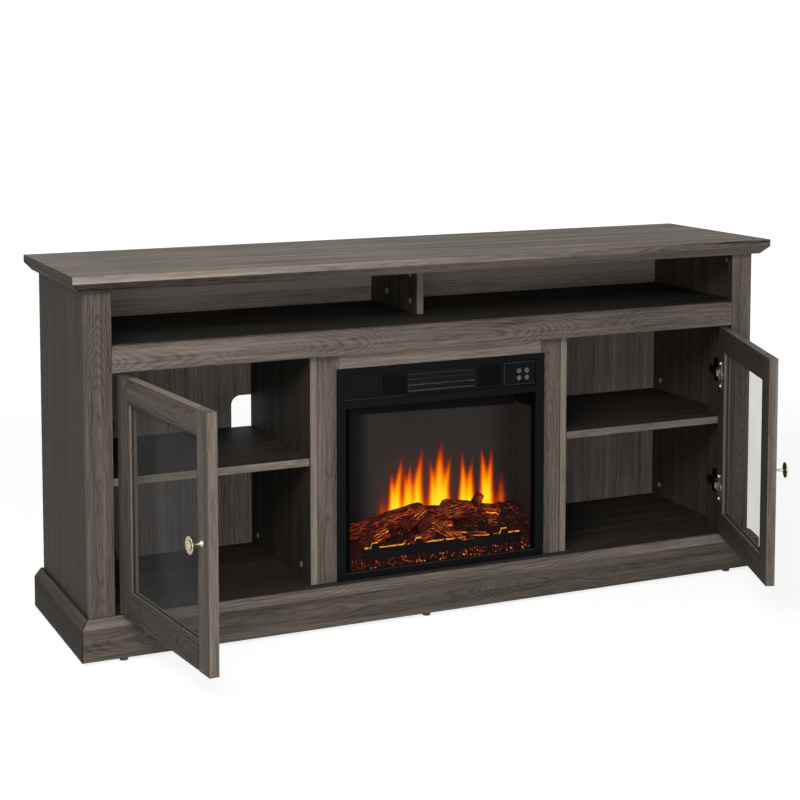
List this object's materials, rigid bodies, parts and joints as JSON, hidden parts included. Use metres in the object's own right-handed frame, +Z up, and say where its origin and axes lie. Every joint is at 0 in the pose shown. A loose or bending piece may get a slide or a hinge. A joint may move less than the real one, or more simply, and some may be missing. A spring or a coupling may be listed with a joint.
{
  "type": "fireplace tv stand",
  "caption": "Wide media cabinet with open compartments over glazed hinged doors and an electric fire insert set between them.",
  "frame": {"origin": "on the floor under the centre support leg, midway between the front and the back of the carcass", "axes": "+X to the right seen from the front, +Y to the back, +Z up; the front faces -Y"},
  "size_m": [1.524, 0.7591, 0.7214],
  "materials": {
    "wood_face": "grey-brown wood-grain laminate, low sheen",
    "wood_inside": "grey-brown laminate, matt",
    "back_sheet": "printed hardboard, matt",
    "door_glass": "clear flat glass",
    "knob_metal": "pale champagne, satin",
    "hinge_nickel": "nickel plate",
    "insert_black": "blue-black powder coat, satin",
    "insert_glass": "lightly smoked flat glass",
    "insert_steel": "galvanised sheet",
    "insert_plastic": "black, fine texture",
    "log_resin": "moulded and painted, with glowing cracks",
    "flame_film": "dark printed screen lit from behind by flames",
    "lamp_board": "printed circuit board",
    "heater_ribbon": "resistance ribbon in a light frame"
  },
  "bodies": {
    "cabinet": {"top_board": "wood_face", "cornice_front": "wood_face", "cornice_left": "wood_face", "cornice_right": "wood_face", "side_panel_left": "wood_face", "side_panel_right": "wood_face", "post_left": "wood_face", "post_right": "wood_face", "front_rail": "wood_face", "media_divider": "wood_face", "divider_left": "wood_face", "divider_right": "wood_face", "fire_stile_left": "wood_face", "fire_stile_right": "wood_face", "fire_header": "wood_face", "shelf_left": "wood_face", "shelf_right": "wood_face", "plinth_front": "wood_face", "plinth_left": "wood_face", "plinth_right": "wood_face", "sub_top": "wood_inside", "media_shelf": "wood_inside", "bottom_panel": "wood_inside", "back_panel": "back_sheet", "hinge_arm_left_upper": "hinge_nickel", "hinge_arm_left_lower": "hinge_nickel", "hinge_arm_right_upper": "hinge_nickel", "hinge_arm_right_lower": "hinge_nickel", "insert_bezel": "insert_black", "insert_vent_panel": "insert_black", "insert_glass": "insert_glass", "insert_shell": "insert_steel", "rotor_motor": "insert_plastic", "centre_leg": "insert_plastic", "log_set": "log_resin", "flame_screen": "flame_film", "led_board": "lamp_board", "heater_element": "heater_ribbon"},
    "door_left": {"door_left_hinge_stile": "wood_face", "door_left_free_stile": "wood_face", "door_left_top_rail": "wood_face", "door_left_bottom_rail": "wood_face", "door_left_glass": "door_glass", "door_left_knob": "knob_metal", "hinge_cup_left_upper": "hinge_nickel", "hinge_cup_left_lower": "hinge_nickel"},
    "door_right": {"door_right_hinge_stile": "wood_face", "door_right_free_stile": "wood_face", "door_right_top_rail": "wood_face", "door_right_bottom_rail": "wood_face", "door_right_glass": "door_glass", "door_right_knob": "knob_metal", "hinge_cup_right_upper": "hinge_nickel", "hinge_cup_right_lower": "hinge_nickel"},
    "button_power": {"button_power": "insert_plastic"},
    "button_flame": {"button_flame": "insert_plastic"},
    "button_heat": {"button_heat": "insert_plastic"},
    "button_timer": {"button_timer": "insert_plastic"},
    "flame_rotor": {"flame_rotor": "insert_steel"},
    "blower_wheel": {"blower_wheel": "insert_steel"}
  },
  "joints": [
    {"name": "door_left_hinge", "type": "hinge", "parent": "cabinet", "child": "door_left", "pos_m": [-0.6755, -0.182, 0.30925], "axis": [0, 0, 1], "range_deg": [-20.8, 84.2]},
    {"name": "door_right_hinge", "type": "hinge", "parent": "cabinet", "child": "door_right", "pos_m": [0.6755, -0.182, 0.30925], "axis": [0, 0, 1], "range_deg": [-68.8, 36.2]},
    {"name": "button_power_push", "type": "slide", "parent": "cabinet", "child": "button_power", "axis": [0, 1, 0], "range_m": [0, 0.0012], "stiffness_N_per_m": 400},
    {"name": "button_flame_push", "type": "slide", "parent": "cabinet", "child": "button_flame", "axis": [0, 1, 0], "range_m": [0, 0.0012], "stiffness_N_per_m": 400},
    {"name": "button_heat_push", "type": "slide", "parent": "cabinet", "child": "button_heat", "axis": [0, 1, 0], "range_m": [0, 0.0012], "stiffness_N_per_m": 400},
    {"name": "button_timer_push", "type": "slide", "parent": "cabinet", "child": "button_timer", "axis": [0, 1, 0], "range_m": [0, 0.0012], "stiffness_N_per_m": 400},
    {"name": "flame_rotor_spin", "type": "hinge", "parent": "cabinet", "child": "flame_rotor", "pos_m": [0, -0.0148, 0.1267], "axis": [1, 0, 0], "continuous": true},
    {"name": "blower_wheel_spin", "type": "hinge", "parent": "cabinet", "child": "blower_wheel", "pos_m": [0, -0.0613, 0.464], "axis": [1, 0, 0], "continuous": true}
  ]
}
